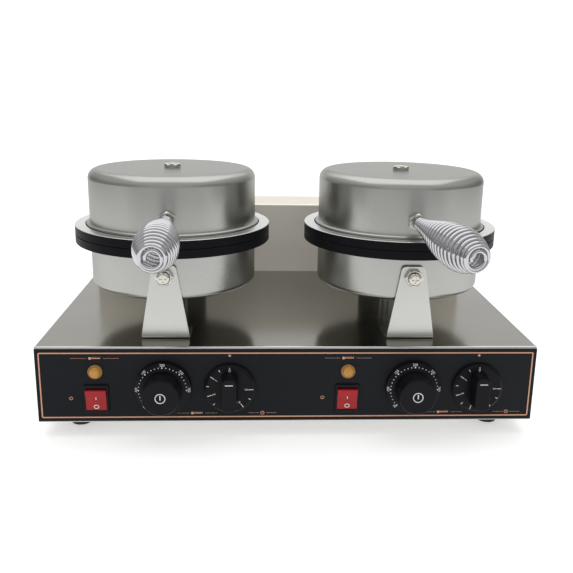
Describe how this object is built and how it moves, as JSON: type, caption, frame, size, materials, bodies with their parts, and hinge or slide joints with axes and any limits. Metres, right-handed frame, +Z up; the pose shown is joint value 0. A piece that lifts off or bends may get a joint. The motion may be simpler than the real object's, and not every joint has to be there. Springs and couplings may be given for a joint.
{
  "type": "waffle cone maker",
  "caption": "Counter-top double-head electric waffle cone maker: hinged round baking plates in steel pans on a sheet-metal base, with dials, timers, rocker switches and coil handles.",
  "frame": {"origin": "middle of the bounding box at floor level, under the feet", "axes": "+Z up, -Y towards the cook and the control panel, +X to the cook's right"},
  "size_m": [0.52, 0.4988, 0.2746],
  "materials": {
    "sheet_steel": "brushed stainless sheet, fine straight grain",
    "drawn_steel": "satin deep-drawn stainless, polished at the bends",
    "panel_black": "matt charcoal panel film with copper lines",
    "cast_black": "cast aluminium, black non-stick coat, turned bare rim",
    "chrome_wire": "bright chromed spring wire",
    "nickel_fastener": "nickel-plated steel, slightly warm",
    "element_steel": "heat-darkened steel tube",
    "ceramic_fibre": "white ceramic fibre blanket",
    "rubber_black": "soft black rubber",
    "knob_black": "black phenolic, white printed marks",
    "switch_black": "fine-textured black plastic",
    "rocker_red": "translucent red plastic, half gloss",
    "gland_black": "black nylon",
    "ceramic_white": "glazed white steatite",
    "copper": "drawn copper",
    "bezel_amber": "dark amber plastic",
    "lens_amber": "clear amber plastic lens",
    "control_body": "pale plastic and plated steel housing"
  },
  "bodies": {
    "base": {"base_casing": "sheet_steel", "bottom_cover": "sheet_steel", "bracket_base_screws": "nickel_fastener", "bracket_nuts": "nickel_fastener", "bracket_screws": "nickel_fastener", "casing_screws": "nickel_fastener", "control_panel": "panel_black", "foot_screws": "nickel_fastener", "front_brackets": "sheet_steel", "hinge_pins": "nickel_fastener", "lamp_bezels": "bezel_amber", "lamp_lenses": "lens_amber", "lead_grommets": "rubber_black", "lead_tubes": "element_steel", "left_lower_pan": "drawn_steel", "left_lower_plate": "cast_black", "left_switch_frame": "switch_black", "lower_elements": "element_steel", "lower_insulation": "ceramic_fibre", "lower_stud_nuts": "nickel_fastener", "lower_studs": "nickel_fastener", "mains_gland": "gland_black", "rear_box": "sheet_steel", "rear_brackets": "sheet_steel", "rear_panel": "sheet_steel", "right_lower_pan": "drawn_steel", "right_lower_plate": "cast_black", "right_switch_frame": "switch_black", "rubber_feet": "rubber_black", "sensor_bulbs": "copper", "terminal_block": "ceramic_white", "thermostats": "control_body", "timers": "control_body"},
    "left_lid": {"left_upper_plate": "cast_black", "left_cover": "drawn_steel", "left_upper_element": "element_steel", "left_upper_insulation": "ceramic_fibre", "left_lid_studs": "nickel_fastener", "left_lid_nuts": "nickel_fastener", "left_handle": "chrome_wire", "left_cover_grommet": "rubber_black"},
    "left_dial": {"left_dial": "knob_black", "left_dial_shaft": "nickel_fastener"},
    "left_timer": {"left_timer_knob": "knob_black", "left_timer_shaft": "nickel_fastener"},
    "left_switch": {"left_rocker": "rocker_red"},
    "right_lid": {"right_upper_plate": "cast_black", "right_cover": "drawn_steel", "right_upper_element": "element_steel", "right_upper_insulation": "ceramic_fibre", "right_lid_studs": "nickel_fastener", "right_lid_nuts": "nickel_fastener", "right_handle": "chrome_wire", "right_cover_grommet": "rubber_black"},
    "right_dial": {"right_dial": "knob_black", "right_dial_shaft": "nickel_fastener"},
    "right_timer": {"right_timer_knob": "knob_black", "right_timer_shaft": "nickel_fastener"},
    "right_switch": {"right_rocker": "rocker_red"}
  },
  "joints": [
    {"name": "left_lid_hinge", "type": "hinge", "parent": "base", "child": "left_lid", "pos_m": [-0.1296, 0.08844, 0.1997], "axis": [-1, 0, 0], "range_deg": [0, 100]},
    {"name": "left_dial_turn", "type": "hinge", "parent": "base", "child": "left_dial", "pos_m": [-0.13, -0.15356, 0.0568], "axis": [0, -1, 0], "range_deg": [-150, 90]},
    {"name": "left_timer_turn", "type": "hinge", "parent": "base", "child": "left_timer", "pos_m": [-0.0616, -0.15356, 0.0564], "axis": [0, 1, 0], "range_deg": [0, 270]},
    {"name": "left_rocker_tilt", "type": "hinge", "parent": "base", "child": "left_switch", "pos_m": [-0.1989, -0.15256, 0.0446], "axis": [-1, 0, 0], "range_deg": [0, 16]},
    {"name": "right_lid_hinge", "type": "hinge", "parent": "base", "child": "right_lid", "pos_m": [0.1296, 0.08844, 0.1997], "axis": [-1, 0, 0], "range_deg": [0, 100]},
    {"name": "right_dial_turn", "type": "hinge", "parent": "base", "child": "right_dial", "pos_m": [0.13, -0.15356, 0.0568], "axis": [0, -1, 0], "range_deg": [-150, 90]},
    {"name": "right_timer_turn", "type": "hinge", "parent": "base", "child": "right_timer", "pos_m": [0.1984, -0.15356, 0.0564], "axis": [0, 1, 0], "range_deg": [0, 270]},
    {"name": "right_rocker_tilt", "type": "hinge", "parent": "base", "child": "right_switch", "pos_m": [0.0611, -0.15256, 0.0446], "axis": [-1, 0, 0], "range_deg": [0, 16]}
  ]
}
